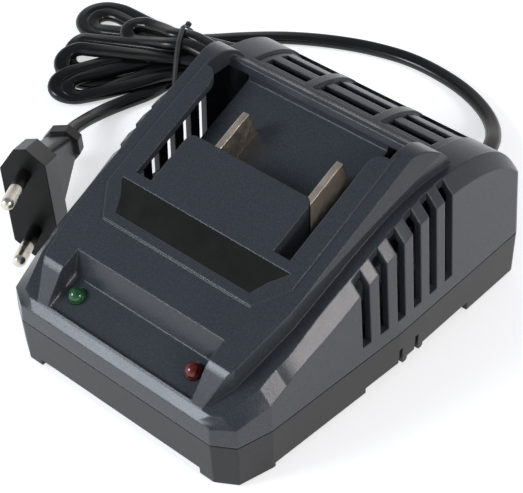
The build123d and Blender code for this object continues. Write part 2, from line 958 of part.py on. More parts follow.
def on_board(x, y, width, depth, height):
    """A block standing on the circuit board, centred on a place in plan."""
    return box(x - width / 2, x + width / 2, y - depth / 2, y + depth / 2, board_top, board_top + height)


def build_transformer():
    """Core, bobbin and winding of the flyback transformer, nested without overlap."""
    x, y = transformer_place
    width, depth, height = transformer_size
    limb = core_limb
    core = on_board(x, y, width, depth, height)
    window_low = board_top + limb
    window_high = board_top + height - limb
    for side in (-1, 1):
        low = min(side * limb / 2, side * (width / 2 - limb / 2))
        high = max(side * limb / 2, side * (width / 2 - limb / 2))
        core -= box(x + low, x + high, y - depth, y + depth, window_low, window_high)
    window = width / 2 - limb
    sleeve = bobbin_wall
    gap = winding_clearance
    middle = (window_low + window_high) / 2
    tall = window_high - window_low
    tube_width = limb + 2 * gap
    tube_depth = depth + 2 * gap
    bobbin = Pos(x, y, middle) * Box(tube_width + 2 * sleeve, tube_depth + 2 * sleeve, tall - 2 * gap)
    outer_width = limb + 2 * (window - gap)
    outer_depth = depth + 2 * (window - gap)
    for flange_middle in (window_low + gap + sleeve / 2, window_high - gap - sleeve / 2):
        flange = Box(outer_width, outer_depth, sleeve)
        bobbin += Pos(x, y, flange_middle) * flange
    bobbin -= Pos(x, y, middle) * Box(tube_width, tube_depth, tall)
    spool = tall - 2 * gap - 2 * sleeve
    winding = Box(outer_width - 2 * gap, outer_depth - 2 * gap, spool)
    winding = fillet(winding.edges().filter_by(Axis.Z), 2.0)
    winding -= Box(tube_width + 2 * sleeve, tube_depth + 2 * sleeve, spool)
    return core, bobbin, Pos(x, y, middle) * winding


def electrolytic(x, y, radius, height):
    """An upright can with its rolled bead near the foot and a shallow rim round the top."""
    can = cylinder(x, y, board_top, board_top + height, radius)
    groove = cylinder(x, y, board_top + 2.0, board_top + 3.0, radius) - cylinder(
        x, y, board_top + 2.0, board_top + 3.0, radius - 0.5
    )
    return can - groove - cylinder(x, y, board_top + height - 0.3, board_top + height, radius * 0.8)


def build_choke():
    """A toroidal choke standing on its edge."""
    x, y = choke_place
    radius, tube = choke_size
    ring = Rot(0, 90, 0) * Torus(radius, tube)
    foot = box(-tube, tube, -radius, radius, -radius - tube, -radius - tube * 0.6)
    return Pos(x, y, board_top + radius + tube) * (ring + foot)


def build_to220(x, y):
    """A power package standing in front of its heat sink: plastic body, metal tab and three leads."""
    half = package_width / 2
    seat, shoulder = board_top + package_lead, board_top + package_lead + package_height
    body = box(x - half, x + half, y - package_depth, y, seat, shoulder)
    tab = box(x - half, x + half, y - package_tab, y, shoulder, shoulder + package_tab_height)
    middle = y - package_depth / 2
    leads = [
        box(x + shift - 0.4, x + shift + 0.4, middle - 0.3, middle + 0.3, board_top, seat)
        for shift in (-package_pitch, 0, package_pitch)
    ]
    return Part() + [body, tab] + leads


def build_heat_sink():
    """An aluminium comb: a back plate across the board with upright fins behind it."""
    x, y = sink_place
    width, depth, height = sink_size
    plate = box(x - width / 2, x + width / 2, y, y + sink_plate, board_top, board_top + height)
    count = int((width - sink_fin) // sink_fin_pitch) + 1
    first = x - (count - 1) * sink_fin_pitch / 2
    fins = [
        box(first + i * sink_fin_pitch - sink_fin / 2, first + i * sink_fin_pitch + sink_fin / 2,
            y + sink_plate, y + depth, board_top, board_top + height)
        for i in range(count)
    ]
    return Part() + [plate] + fins


def build_fuse():
    """A glass-bodied fuse between two end caps, in clips on the board."""
    x, y = fuse_place
    length, radius = fuse_size
    axis = board_top + radius + 1.0
    tube = Pos(x, y, axis) * Rot(90, 0, 0) * Cylinder(radius, length)
    clips = [
        box(x - radius, x + radius, y + side * (length / 2 - 2) - 1.5, y + side * (length / 2 - 2) + 1.5,
            board_top, axis - radius * 0.4)
        for side in (-1, 1)
    ]
    return tube + clips


def build_resistors():
    """Small axial resistors lying on the board in a row."""
    x, y = resistor_place
    bodies = []
    for i in range(resistor_count):
        body = Rot(0, 90, 0) * Cylinder(1.2, 6.0)
        lead = Rot(0, 90, 0) * Cylinder(0.3, 9.0)
        bodies.append(Pos(x, y + i * resistor_pitch, board_top + 1.2) * (body + lead))
    return Part() + bodies


# ---------------------------------------------------------------- wires and cord
def turn_radii(points):
    """Arc radius at each inner point: as large as the shorter of its two runs allows."""
    radii = []
    for before, here, after in zip(points, points[1:], points[2:]):
        arriving = Vector(*here) - Vector(*before)
        leaving = Vector(*after) - Vector(*here)
        half_turn = radians(arriving.get_angle(leaving) / 2)
        radii.append(0.45 * min(arriving.length, leaving.length) / tan(half_turn))
    return radii


def tube(name, points, radius):
    """A round tube along straight runs joined by tangent arcs."""
    radii = turn_radii(points)
    path = FilletPolyline(*points, radius=radii)
    solid = sweep(Plane(origin=path @ 0, z_dir=path % 0) * Circle(radius), path=path)
    expected = pi * radius**2 * path.length
    print(name, "radii", [round(r, 1) for r in radii], "length", round(path.length, 1),
          "volume ratio", round(solid.volume / expected, 4))
    return solid


def build_output_wires():
    """Two wires from the board up to the blades' tangs."""
    wires = []
    middle = (tang_front + tang_rear) / 2
    top = tang_foot()
    for centre in blade_centres:
        points = [
            (centre, middle, top),
            (centre, middle, top - output_wire_drop),
            (centre, middle + 0.8 * output_wire_reach, top - 1.8 * output_wire_drop),
            (centre, middle + output_wire_reach, board_height),
        ]
        wires.append(tube("output_wire", points, output_wire_radius))
    return Part() + wires & above_board()


def relief_frame():
    """The plane at the outside of the rear wall where the strain relief leaves, looking outward."""
    x, z = inlet_place
    return Plane(origin=(x, body_depth, z), x_dir=(1, 0, 0), z_dir=Vector(*relief_direction))


def relief_end():
    frame = relief_frame()
    return frame.origin + frame.z_dir * relief_length


def flange_inside():
    """Depth of the inner face of the strain relief's flange."""
    return wall_outside - wall - relief_seat - relief_collar


def build_strain_relief():
    """A rubber sleeve: flange inside the wall with a flat foot, neck through it, ribbed taper outside."""
    frame = relief_frame()
    taper = Cone(relief_root_radius, relief_tip_radius, relief_length + 2,
                 align=(Align.CENTER, Align.CENTER, Align.MIN))
    taper = Pos(0, 0, -2) * taper
    for i in range(relief_rib_count):
        start = relief_collar + i * relief_rib_pitch
        end = start + relief_rib_gap
        groove = cylinder(0, 0, start, end, relief_root_radius + 1)
        taper -= groove - cylinder(0, 0, start, end, relief_tip_radius - relief_rib_depth)
    outside = (frame * taper) & box(-side_half, side_half, body_depth, body_depth + above_all, 0, above_all)
    inside = wall_outside - wall
    x, z = inlet_place
    neck_radius = inlet_radius - relief_neck_clearance
    neck = along_depth(x, z, inside - 1, body_depth + 0.5, neck_radius)
    flange = along_depth(x, z, flange_inside(), inside - relief_seat, relief_root_radius)
    flange &= box(-side_half, side_half, 0, body_depth, base_floor_top, above_all)
    return outside + neck + flange


def build_inner_cord():
    """The end of the cord's sheath inside the housing, held by the clamp."""
    x, z = inlet_place
    return along_depth(x, z, sheath_end, flange_inside(), cord_width / 2)


def clamp_places():
    x, _ = inlet_place
    return [(x - clamp_screw_offset, clamp_depth), (x + clamp_screw_offset, clamp_depth)]


def build_cord_clamp():
    x, z = inlet_place
    half = clamp_screw_offset + clamp_screw_margin
    low, high = z + clamp_gap, z + clamp_gap + clamp_height
    front, rear = clamp_depth - clamp_width / 2, clamp_depth + clamp_width / 2
    clamp = box(x - half, x + half, front, rear, low, high)
    clamp -= along_depth(x, z, clamp_depth - clamp_width, clamp_depth + clamp_width, cord_width / 2)
    for place in clamp_places():
        clamp -= cylinder(*place, low - 1, high + 1, board_screw_radius + head_clearance)
    return clamp


def build_clamp_screws():
    _, z = inlet_place
    return Part() + [
        screw(*place, z + clamp_gap + clamp_height, board_screw_head_radius, board_screw_head_height,
              board_screw_radius, clamp_screw_length, point_up=False)
        for place in clamp_places()
    ]


def build_mains_wires():
    """The two cores of the cord, from the end of its sheath to the board."""
    x, z = inlet_place
    wires = []
    for side in (-1, 1):
        points = [
            (x + side * core_half_pitch, sheath_end, z),
            (x + side * core_half_pitch, sheath_end - 4.0, z),
            (x - 2.0 + side * core_spread, board_rear + 0.5, z + 6.0),
            (x - 3.5 + side * core_spread, board_rear - 4.0, board_height),
        ]
        wires.append(tube("mains_wire", points, core_radius))
    free = box(-side_half, side_half, board_rear, body_depth, 0, above_all)
    return Part() + [(wire & above_board()) + (wire & free) for wire in wires]


# the free cord: points of its centre line, from the strain relief to the hank and on to the plug
cord_lead = 12.0
tail_lead = 7.0
run_points = (
    (5.3, 162.7, 3.6),
    (-5.2, 170.1, 2.8),
    (-18.3, 174.6, 2.65),
    (-36.4, 176.1, 2.65),
    (-51.3, 172.8, 2.65),
    (-64.0, 167.6, 2.65),
    (-77.5, 159.8, 2.65),
    (-89.0, 150.6, 2.65),
    (-97.5, 143.6, 2.65),
    (-106.0, 135.0, 3.4),
)
tail_points = (
    (-96.4, 79.8, 5.4),
    (-97.9, 88.4, 3.3),
    (-97.2, 96.6, 2.65),
    (-94.6, 104.6, 2.65),
    (-91.4, 112.0, 2.65),
    (-86.6, 117.6, 2.65),
    (-79.0, 121.0, 3.0),
)

# outline of the tied hank, in plan: the fanned loops on one side of the tie, the closed ones on the other
hank_outline = (
    (-105.2, 140.0),
    (-120.0, 138.8),
    (-136.0, 138.4),
    (-146.4, 130.5),
    (-145.0, 119.0),
    (-136.8, 113.6),
    (-134.6, 103.0),
    (-127.8, 93.4),
    (-121.6, 84.8),
    (-111.6, 83.6),
    (-104.6, 91.0),
    (-97.6, 102.5),
    (-88.4, 113.4),
    (-75.0, 119.0),
    (-59.4, 126.5),
    (-56.6, 140.5),
    (-70.0, 149.0),
    (-90.0, 146.0),
)


def build_hank():
    loop = [hank_outline[-1], *hank_outline, hank_outline[0]]
    radii = [min(hank_corner_radius, radius) for radius in turn_radii(loop)]
    outline = make_face(FilletPolyline(*hank_outline, radius=radii, close=True))
    hank = extrude(outline, hank_height)
    hank = fillet(hank.edges().group_by(Axis.Z)[-1], cord_width / 2 - 0.1)
    return hank - tie_band()


def tie_band():
    """The tie: a flat band round the waist of the hank."""
    width, thick, half = cord_tie_width, cord_tie_thickness, tie_span / 2
    outer = box(-width / 2, width / 2, -half - thick, half + thick, tie_floor, hank_height + thick)
    hole = box(-width, width, -half, half, tie_floor + thick, hank_height)
    band = outer - hole
    return Pos(tie_place[0], tie_place[1], 0) * Rot(0, 0, tie_turn) * band


def build_cord_run():
    start = relief_end()
    lead = start + relief_frame().z_dir * cord_lead
    points = [tuple(start), tuple(lead), *run_points]
    return tube("cord_run", points, cord_width / 2) - build_hank() - tie_band()


def build_cord_tail():
    start = plug_rear()
    lead = start - plug_frame().z_dir * tail_lead
    points = [tuple(start), tuple(lead), *tail_points]
    return tube("cord_tail", points, cord_width / 2) - build_hank() - tie_band()


# ---------------------------------------------------------------- mains plug
def plug_frame():
    """The plug's face: Z along its pins, Y from the upper pin to the lower one."""
    return Plane(origin=plug_place, x_dir=plug_thickness_direction, z_dir=plug_pin_direction)


def plug_rear():
    frame = plug_frame()
    return frame.origin - frame.z_dir * plug_length


def plug_section(width, thickness):
    """The plug's head across its pins: a long hexagon with blunt tips."""
    half, tip = thickness / 2, width / 2
    flat = tip - (plug_width - plug_straight) / 2
    return make_face(Polyline(
        (half, flat), (plug_tip_half, tip), (-plug_tip_half, tip), (-half, flat),
        (-half, -flat), (-plug_tip_half, -tip), (plug_tip_half, -tip), (half, -flat), close=True,
    ))


def plug_places():
    return [(0, -plug_pin_pitch / 2), (0, plug_pin_pitch / 2)]


def build_pin_bridge():
    bridge = extrude(RectangleRounded(bridge_thickness, bridge_width, 1.0), bridge_length)
    cores = [cylinder(*place, -pin_root, 0, pin_core_radius) for place in plug_places()]
    return plug_frame() * (Pos(0, 0, -bridge_depth) * bridge - cores)


def build_plug_pins():
    """Two round pins with bare tips, rounded at the end, and thin cores under the sleeves."""
    pins = []
    for place in plug_places():
        core = cylinder(*place, -pin_root, plug_sleeve_length, pin_core_radius)
        tip = cylinder(*place, plug_sleeve_length, plug_pin_length - plug_pin_radius, plug_pin_radius)
        end = Pos(*place, plug_pin_length - plug_pin_radius) * Sphere(plug_pin_radius)
        pins.append(core + tip + end)
    return plug_frame() * (Part() + pins)


def build_pin_sleeves():
    sleeves = [
        cylinder(*place, 0, plug_sleeve_length, plug_pin_radius)
        - cylinder(*place, -1, plug_sleeve_length + 1, pin_core_radius)
        for place in plug_places()
    ]
    return plug_frame() * (Part() + sleeves)


def build_plug_body():
    head = loft([
        plug_section(plug_width, plug_thickness),
        Pos(0, 0, -plug_head_length) * plug_section(*plug_head_rear),
    ])
    waist = loft([
        Pos(0, 0, -plug_head_length) * RectangleRounded(*plug_waist_section, 2.5),
        Pos(0, 0, -plug_waist_end) * RectangleRounded(*plug_neck_section, 2.5),
    ])
    collar_outline = Rectangle(*plug_collar_section)
    collar_outline = chamfer(collar_outline.vertices(), plug_collar_corner)
    collar = Pos(0, 0, -plug_length) * extrude(collar_outline, plug_length - plug_waist_end)
    collar = chamfer(collar.edges().group_by(Axis.Z)[0], plug_collar_end)
    collar = chamfer(collar.edges().group_by(Axis.Z)[-1], plug_collar_shoulder)
    body = head + waist + collar
    body -= [cylinder(*place, -pin_root, 1, pin_core_radius) for place in plug_places()]
    return plug_frame() * body - build_pin_bridge()


# ---------------------------------------------------------------- all pieces
def small_parts():
    core, bobbin, winding = build_transformer()
    x, y = chip_place
    chip = on_board(x, y, *chip_size)
    legs = [
        on_board(x + i * chip_leg_pitch, y + side * (chip_size[1] / 2 + 0.5), 0.6, 1.0, chip_size[2] / 2)
        for i in (-1.5, -0.5, 0.5, 1.5)
        for side in (-1, 1)
    ]
    return {
        "transformer_core": core,
        "transformer_bobbin": bobbin,
        "transformer_winding": winding,
        "input_capacitor": electrolytic(*input_capacitor_place, *input_capacitor_size),
        "output_capacitors": Part() + [
            electrolytic(*place, *output_capacitor_size) for place in output_capacitor_places
        ],
        "film_capacitor": on_board(*film_capacitor_place, *film_capacitor_size),
        "bridge_rectifier": on_board(*bridge_place, *bridge_size),
        "controller_chip": chip + legs,
        "optocoupler": on_board(*optocoupler_place, *optocoupler_size),
        "interference_choke": build_choke(),
        "heat_sink": build_heat_sink(),
        "power_transistor": build_to220(*transistor_place),
        "output_rectifier": build_to220(*rectifier_place),
        "mains_fuse": build_fuse(),
        "resistors": build_resistors(),
    }


def build_all():
    nodes = {
        "upper_housing": build_upper_housing(),
        "lower_housing": build_lower_housing(),
        "label_plate": build_label_plate(),
        "rubber_feet": build_rubber_feet(),
        "housing_screws": build_housing_screws(),
        "terminal_block": build_terminal_block(),
        "led_green": build_led(-1),
        "led_red": build_led(1),
        "led_leads": build_led_leads(),
        "circuit_board": build_circuit_board(),
        "board_screws": build_board_screws(),
        "output_wires": build_output_wires(),
        "strain_relief": build_strain_relief(),
        "inner_cord": build_inner_cord(),
        "cord_clamp": build_cord_clamp(),
        "clamp_screws": build_clamp_screws(),
        "mains_wires": build_mains_wires(),
        "cord_run": build_cord_run(),
        "cord_hank": build_hank(),
        "cord_tie": tie_band(),
        "cord_tail": build_cord_tail(),
        "plug_body": build_plug_body(),
        "plug_pin_bridge": build_pin_bridge(),
        "plug_pins": build_plug_pins(),
        "plug_pin_sleeves": build_pin_sleeves(),
    }
    for name, centre in zip(("contact_blade_left", "contact_blade_right"), blade_centres):
        nodes[name] = blade(centre)
    return nodes | small_parts()


if __name__ == "__main__":
    os.makedirs("parts", exist_ok=True)
    for name, shape in build_all().items():
        placed = Pos(0, -body_depth / 2, 0) * shape
        export_step(placed, f"parts/{name}.step")
        print(name, "solids", len(placed.solids()), "volume", round(placed.volume, 1))
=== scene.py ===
from collections import namedtuple
from math import cos, hypot, pi, radians, sin

import bmesh
import bpy
from mathutils import Matrix, Vector


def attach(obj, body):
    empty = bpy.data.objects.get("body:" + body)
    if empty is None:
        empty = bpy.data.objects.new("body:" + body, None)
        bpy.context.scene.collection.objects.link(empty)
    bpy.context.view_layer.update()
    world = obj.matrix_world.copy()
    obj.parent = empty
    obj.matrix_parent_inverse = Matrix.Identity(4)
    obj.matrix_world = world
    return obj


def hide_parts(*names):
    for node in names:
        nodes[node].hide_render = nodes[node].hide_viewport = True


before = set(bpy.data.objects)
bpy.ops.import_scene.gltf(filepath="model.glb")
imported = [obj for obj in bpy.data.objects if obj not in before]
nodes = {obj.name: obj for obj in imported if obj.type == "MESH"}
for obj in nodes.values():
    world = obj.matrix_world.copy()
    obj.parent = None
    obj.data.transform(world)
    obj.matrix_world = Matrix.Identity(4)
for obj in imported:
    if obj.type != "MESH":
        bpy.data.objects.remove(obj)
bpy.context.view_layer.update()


def link(name, data):
    """A new object in the scene."""
    piece = bpy.data.objects.new(name, data)
    bpy.context.scene.collection.objects.link(piece)
    return piece


# ---------------------------------------------------------------- camera
CAMERA_PLACE = (0.24371, -0.25573, 0.34399)
CAMERA_AZIMUTH = 0.7600
CAMERA_ELEVATION = 0.7382
CAMERA_ROLL = -0.0449
FOCAL_LENGTH = 118.22
SENSOR_WIDTH = 36.0
CLIP_NEAR, CLIP_FAR = 0.01, 20.0


def add_camera():
    """The photo's camera: it looks down by its elevation, and is rolled about its line of sight."""
    data = bpy.data.cameras.new("camera")
    data.lens = FOCAL_LENGTH
    data.sensor_width = SENSOR_WIDTH
    data.clip_start = CLIP_NEAR
    data.clip_end = CLIP_FAR
    camera = link("camera", data)
    a, e, r = CAMERA_AZIMUTH, CAMERA_ELEVATION, CAMERA_ROLL
    forward = Vector((-sin(a) * cos(e), cos(a) * cos(e), -sin(e)))
    level = Vector((cos(a), sin(a), 0.0))
    upright = level.cross(forward)
    right = cos(r) * level + sin(r) * upright
    up = -sin(r) * level + cos(r) * upright
    turn = Matrix((right, up, -forward)).transposed()
    camera.matrix_world = Matrix.Translation(CAMERA_PLACE) @ turn.to_4x4()
    bpy.context.scene.camera = camera


add_camera()
bpy.context.scene.view_settings.view_transform = "Standard"

# ---------------------------------------------------------------- the cord's route, in metres
CORD_WIDTH = 0.0052
CORD_THICK = 0.0034
# the flat cord leans a little from side to side along its way: by how much, and how soon
CORD_LEAN = 0.16
CORD_LEAN_STEP = 0.83
CORD_STEPS = 10
CORD_ROUNDNESS = 6

RELIEF_END = (0.0162954, 0.0797344, 0.0088616)
RELIEF_LEAD = (0.01375, 0.09132, 0.0077)
RUN_POINTS = (
    (0.0053, 0.10435, 0.0036),
    (-0.0052, 0.11175, 0.0028),
    (-0.0183, 0.11625, 0.00265),
    (-0.0364, 0.11775, 0.00265),
    (-0.0513, 0.11445, 0.00265),
    (-0.0640, 0.10925, 0.00265),
    (-0.0775, 0.10145, 0.00265),
    (-0.0890, 0.09225, 0.00250),
)
TAIL_POINTS = (
    (-0.0934, 0.04945, 0.0020),
    (-0.0958, 0.04250, 0.0020),
    (-0.0978, 0.03500, 0.0022),
    (-0.0976, 0.02830, 0.0034),
    (-0.0960, 0.02140, 0.0056),
    (-0.09408, 0.01438, 0.00747),
    (-0.09032, 0.00865, 0.00893),
)

# the tie's place, the directions through it and across it, and how far strands run straight from it
TIE = (-0.0967, 0.06835)
TIE_TURN = radians(33.0)
THROUGH = (cos(TIE_TURN), sin(TIE_TURN))
ACROSS = (-sin(TIE_TURN), cos(TIE_TURN))
TIE_REACH = 0.003
# the heights of the layers of strands in the tie
LOW, MID, TOP, PEAK = 0.0021, 0.0053, 0.0085, 0.0114

# the round end of a loop: its direction and distance from the tie, its own axis, its half length
# and half width, its heights on the way out, at the tip and on the way back, and the outward bulge
# of the strand that leads to it and of the one that leads back
Tip = namedtuple("Tip", "turn distance axis long wide heights bulges")

# each fanned loop: the slot of the strand going out, the slot of the one coming back, and the tip;
# a slot is a place across the tie and a height
FANNED = (
    ((0.0127, LOW), (0.0027, LOW), Tip(
        turn=179.5, distance=0.0378, axis=178.0, long=0.0086, wide=0.0082,
        heights=(0.0022, 0.0022, 0.0018), bulges=(-0.0002, 0.0))),
    ((0.0077, LOW), (0.0044, TOP), Tip(
        turn=180.3, distance=0.0365, axis=178.0, long=0.0054, wide=0.0050,
        heights=(0.0022, 0.0022, 0.0018), bulges=(0.0, 0.0))),
    ((0.0026, PEAK), (-0.0026, PEAK), Tip(
        turn=187.5, distance=0.0180, axis=187.0, long=0.0048, wide=0.0038,
        heights=(0.0090, 0.0076, 0.0066), bulges=(0.0008, 0.0))),
    ((-0.0016, TOP), (-0.0023, LOW), Tip(
        turn=215.4, distance=0.0350, axis=220.0, long=0.0042, wide=0.0060,
        heights=(0.0060, 0.0024, 0.0019), bulges=(0.0006, 0.0020))),
    ((-0.0070, TOP), (-0.0070, LOW), Tip(
        turn=227.5, distance=0.0348, axis=222.0, long=0.0062, wide=0.0060,
        heights=(0.0072, 0.0058, 0.0022), bulges=(0.0002, 0.0030))),
    ((-0.0012, MID), (-0.0064, MID), Tip(
        turn=244.5, distance=0.0366, axis=241.0, long=0.0044, wide=0.0033,
        heights=(0.0048, 0.0034, 0.0019), bulges=(0.0, 0.0008))),
    ((0.0038, MID), (-0.0112, MID), Tip(
        turn=242.0, distance=0.0390, axis=238.0, long=0.0056, wide=0.0046,
        heights=(0.0056, 0.0036, 0.0019), bulges=(0.0010, 0.0014))),
)
# the closed loop behind the housing that follows each fanned one: direction, reach and half width
CLOSED = (
    (16.0, 0.030, 0.0045),
    (20.0, 0.034, 0.0060),
    (17.0, 0.037, 0.0070),
    (22.0, 0.033, 0.0050),
    (18.0, 0.038, 0.0075),
    (21.0, 0.035, 0.0060),
    (14.0, 0.038, 0.0080),
)
# its strands lie lower than in the tie: their share of that height, and a small lift
CLOSED_SHARE = 0.8
CLOSED_LIFT = 0.0003
TAIL_SLOT = (-0.0114, LOW)

# where a loop has its points: shares of the way out and of the way back, and turns round its tip
OUT_STEPS = (0.3, 0.62, 0.87)
BACK_STEPS = (0.13, 0.38, 0.7)
TIP_TURNS = (0, 45, 90, 135, 180)
TIP_MIDDLE = 90
# a strand going out is at the height where its tip starts before it gets there
EARLY_FALL = 1.3


def at_tie(slot, along):
    """The point of a strand at the tie, so far along the bundle from it."""
    side, height = slot
    return (
        TIE[0] + ACROSS[0] * side + THROUGH[0] * along,
        TIE[1] + ACROSS[1] * side + THROUGH[1] * along,
        height,
    )


def between(start, end, share):
    """The place on the floor plan at a share of the way from start to end."""
    return start[0] + (end[0] - start[0]) * share, start[1] + (end[1] - start[1]) * share


def loop_points(start, end, tip, outward):
    """One loop of cord, from a strand at the tie round its tip and back to another strand."""
    along = (cos(radians(tip.axis)), sin(radians(tip.axis)))
    aside = (outward * along[1], -outward * along[0])
    middle = (
        TIE[0] + cos(radians(tip.turn)) * tip.distance,
        TIE[1] + sin(radians(tip.turn)) * tip.distance,
    )
    height_out, height_tip, height_back = tip.heights
    bulge_out, bulge_back = tip.bulges
    rounds = []
    for turned in TIP_TURNS:
        forth = tip.long * sin(radians(turned))
        over = tip.wide * cos(radians(turned))
        share = abs(turned - TIP_MIDDLE) / TIP_MIDDLE
        side_height = height_out if turned < TIP_MIDDLE else height_back
        rounds.append((
            middle[0] + along[0] * forth + aside[0] * over,
            middle[1] + along[1] * forth + aside[1] * over,
            height_tip + share * (side_height - height_tip),
        ))
    points = []
    for share in OUT_STEPS:
        x, y = between(start, rounds[0], share)
        swell = bulge_out * sin(pi * share)
        height = start[2] + (height_out - start[2]) * min(1.0, EARLY_FALL * share)
        points.append((x + aside[0] * swell, y + aside[1] * swell, height))
    points += rounds
    for share in BACK_STEPS:
        x, y = between(rounds[-1], end, share)
        swell = bulge_back * sin(pi * share)
        height = height_back + (end[2] - height_back) * share
        points.append((x - aside[0] * swell, y - aside[1] * swell, height))
    return points


def closed_tip(closed, slot_in, slot_out):
    """The round end of a loop behind the housing, between two slots of the tie."""
    turn, reach, half = closed
    slot_heights = (slot_in[1], (slot_in[1] + slot_out[1]) / 2, slot_out[1])
    heights = [CLOSED_SHARE * height + CLOSED_LIFT for height in slot_heights]
    return Tip(turn, reach - half, turn, half, half, heights, (0.0, 0.0))


def hank_points():
    """The whole hank: each fanned loop, and after it the closed loop behind the housing."""
    points = []
    next_slots = [slot_out for slot_out, _, _ in FANNED[1:]] + [TAIL_SLOT]
    for (slot_out, slot_back, tip), closed, slot_next in zip(FANNED, CLOSED, next_slots):
        start, end = at_tie(slot_out, -TIE_REACH), at_tie(slot_back, -TIE_REACH)
        points += [at_tie(slot_out, TIE_REACH), start]
        points += loop_points(start, end, tip, 1)
        points.append(end)
        start, end = at_tie(slot_back, TIE_REACH), at_tie(slot_next, TIE_REACH)
        side = ACROSS[0] * (start[0] - end[0]) + ACROSS[1] * (start[1] - end[1])
        points.append(start)
        points += loop_points(
            start, end, closed_tip(closed, slot_back, slot_next), -1 if side >= 0 else 1
        )
    return points + [at_tie(TAIL_SLOT, TIE_REACH), at_tie(TAIL_SLOT, -TIE_REACH)]


def new_curve(name, radius, roundness):
    """A curve that is given thickness by a round bevel."""
    curve = bpy.data.curves.new(name, "CURVE")
    curve.dimensions = "3D"
    curve.bevel_depth = radius
    curve.bevel_resolution = roundness
    curve.use_fill_caps = True
    return curve


def add_spline(curve, places):
    """One smooth open spline along a row of places."""
    spline = curve.splines.new("NURBS")
    spline.points.add(len(places) - 1)
    for point, place in zip(spline.points, places):
        point.co = (*place, 1.0)
    spline.order_u = 3
    spline.use_endpoint_u = True
    return spline


def add_cord():
    """The mains cord: one flat oval along one smooth open spline."""
    places = [RELIEF_END, RELIEF_LEAD, *RUN_POINTS, *hank_points(), *TAIL_POINTS]
    curve = new_curve("mains_cord", CORD_THICK / 2, CORD_ROUNDNESS)
    curve.extrude = (CORD_WIDTH - CORD_THICK) / 2
    curve.twist_mode = "Z_UP"
    spline = add_spline(curve, places)
    spline.resolution_u = CORD_STEPS
    for i, point in enumerate(spline.points):
        point.tilt = pi / 2 + CORD_LEAN * sin(i * CORD_LEAN_STEP)
    return link("mains_cord", curve)


cord = add_cord()

# ---------------------------------------------------------------- the tie
TIE_THICK = 0.0004
TIE_WIDE = 0.0016
# the bundle's outline at the tie, over its top from one side of its foot to the other: place across
# the bundle, and height
TIE_PATH = (
    (-0.0140, 0.0002), (-0.0157, 0.0012), (-0.0157, 0.0034), (-0.0150, 0.0046),
    (-0.0102, 0.0098), (-0.0090, 0.0108), (-0.0050, 0.0133), (-0.0034, 0.0138),
    (0.0034, 0.0138), (0.0050, 0.0133), (0.0086, 0.0102), (0.0122, 0.0074),
    (0.0152, 0.0046), (0.0157, 0.0034), (0.0157, 0.0012), (0.0140, 0.0002),
)
TIE_ROUNDS = 2
TIE_LOWEST = 0.0001
# a section through the band, with a raised wire in its middle: shares of its width and thickness
BAND_SECTION = (
    (-0.5, 0.0), (-0.5, 0.7), (-0.2, 1.0), (-0.1, 1.9),
    (0.1, 1.9), (0.2, 1.0), (0.5, 0.7), (0.5, 0.0),
)
# corner cutting: the shares of a side's nearer and farther end
NEAR, FAR = 0.75, 0.25

# the tie's two ends, twisted together: where across the bundle and how high they start, how far
# they reach, how much they droop and over what part of a half wave, and their half turns round
# each other
TWIST_PLACE = 0.0106
TWIST_REACH = 0.0020
TWIST_HEIGHT = 0.0102
TWIST_DROOP = 0.0010
TWIST_WAVE = 0.6
TWIST_HALF_TURNS = 3
TWIST_STEPS = 14
# the wires' own radius, and their distance from the twist's middle at its start and how that grows
WIRE_RADIUS = 0.0005
WIRE_ROUNDNESS = 3
WIRE_APART = 0.0005
WIRE_APART_GROWS = 0.0001


def smooth_ring(points, rounds):
    """Corner cutting of a closed outline."""
    for _ in range(rounds):
        cut = []
        for here, after in zip(points, points[1:] + points[:1]):
            cut.append((NEAR * here[0] + FAR * after[0], NEAR * here[1] + FAR * after[1]))
            cut.append((FAR * here[0] + NEAR * after[0], FAR * here[1] + NEAR * after[1]))
        points = cut
    return points


def mesh_object(name, mesh_maker):
    """A smooth-shaded object whose mesh a function fills in."""
    mesh = bpy.data.meshes.new(name)
    work = bmesh.new()
    mesh_maker(work)
    bmesh.ops.recalc_face_normals(work, faces=work.faces)
    work.to_mesh(mesh)
    work.free()
    for face in mesh.polygons:
        face.use_smooth = True
    return link(name, mesh)


def tie_mesh(work):
    """The band: its section swept round the bundle's outline."""
    ring = smooth_ring(list(TIE_PATH), TIE_ROUNDS)
    count = len(ring)
    centre = (sum(p[0] for p in ring) / count, sum(p[1] for p in ring) / count)
    rings = []
    for side, height in ring:
        away = (side - centre[0], height - centre[1])
        size = hypot(*away)
        verts = []
        for along, out in BAND_SECTION:
            grown = 1 + out * TIE_THICK / size
            z = max(TIE_LOWEST, centre[1] + away[1] * grown)
            place = at_tie((centre[0] + away[0] * grown, z), along * TIE_WIDE)
            verts.append(work.verts.new(place))
        rings.append(verts)
    for here, after in zip(rings, rings[1:] + rings[:1]):
        for i in range(len(BAND_SECTION)):
            j = (i + 1) % len(BAND_SECTION)
            work.faces.new((here[i], here[j], after[j], after[i]))


def twist_points(phase):
    """One of the two wires of the tie's twisted end."""
    points = []
    for i in range(TWIST_STEPS + 1):
        step = i / TWIST_STEPS
        around = phase + step * TWIST_HALF_TURNS * pi
        apart = WIRE_APART + WIRE_APART_GROWS * step
        side = TWIST_PLACE + TWIST_REACH * step
        middle = TWIST_HEIGHT - TWIST_DROOP * sin(step * pi * TWIST_WAVE)
        points.append(at_tie((side, middle + apart * sin(around)), apart * cos(around)))
    return points


def add_twist():
    """Both wires of the tie's twisted end."""
    curve = new_curve("cord_tie_twist", WIRE_RADIUS, WIRE_ROUNDNESS)
    for phase in (0.0, pi):
        add_spline(curve, twist_points(phase))
    return link("cord_tie_twist", curve)


tie = mesh_object("cord_tie_band", tie_mesh)
twist = add_twist()

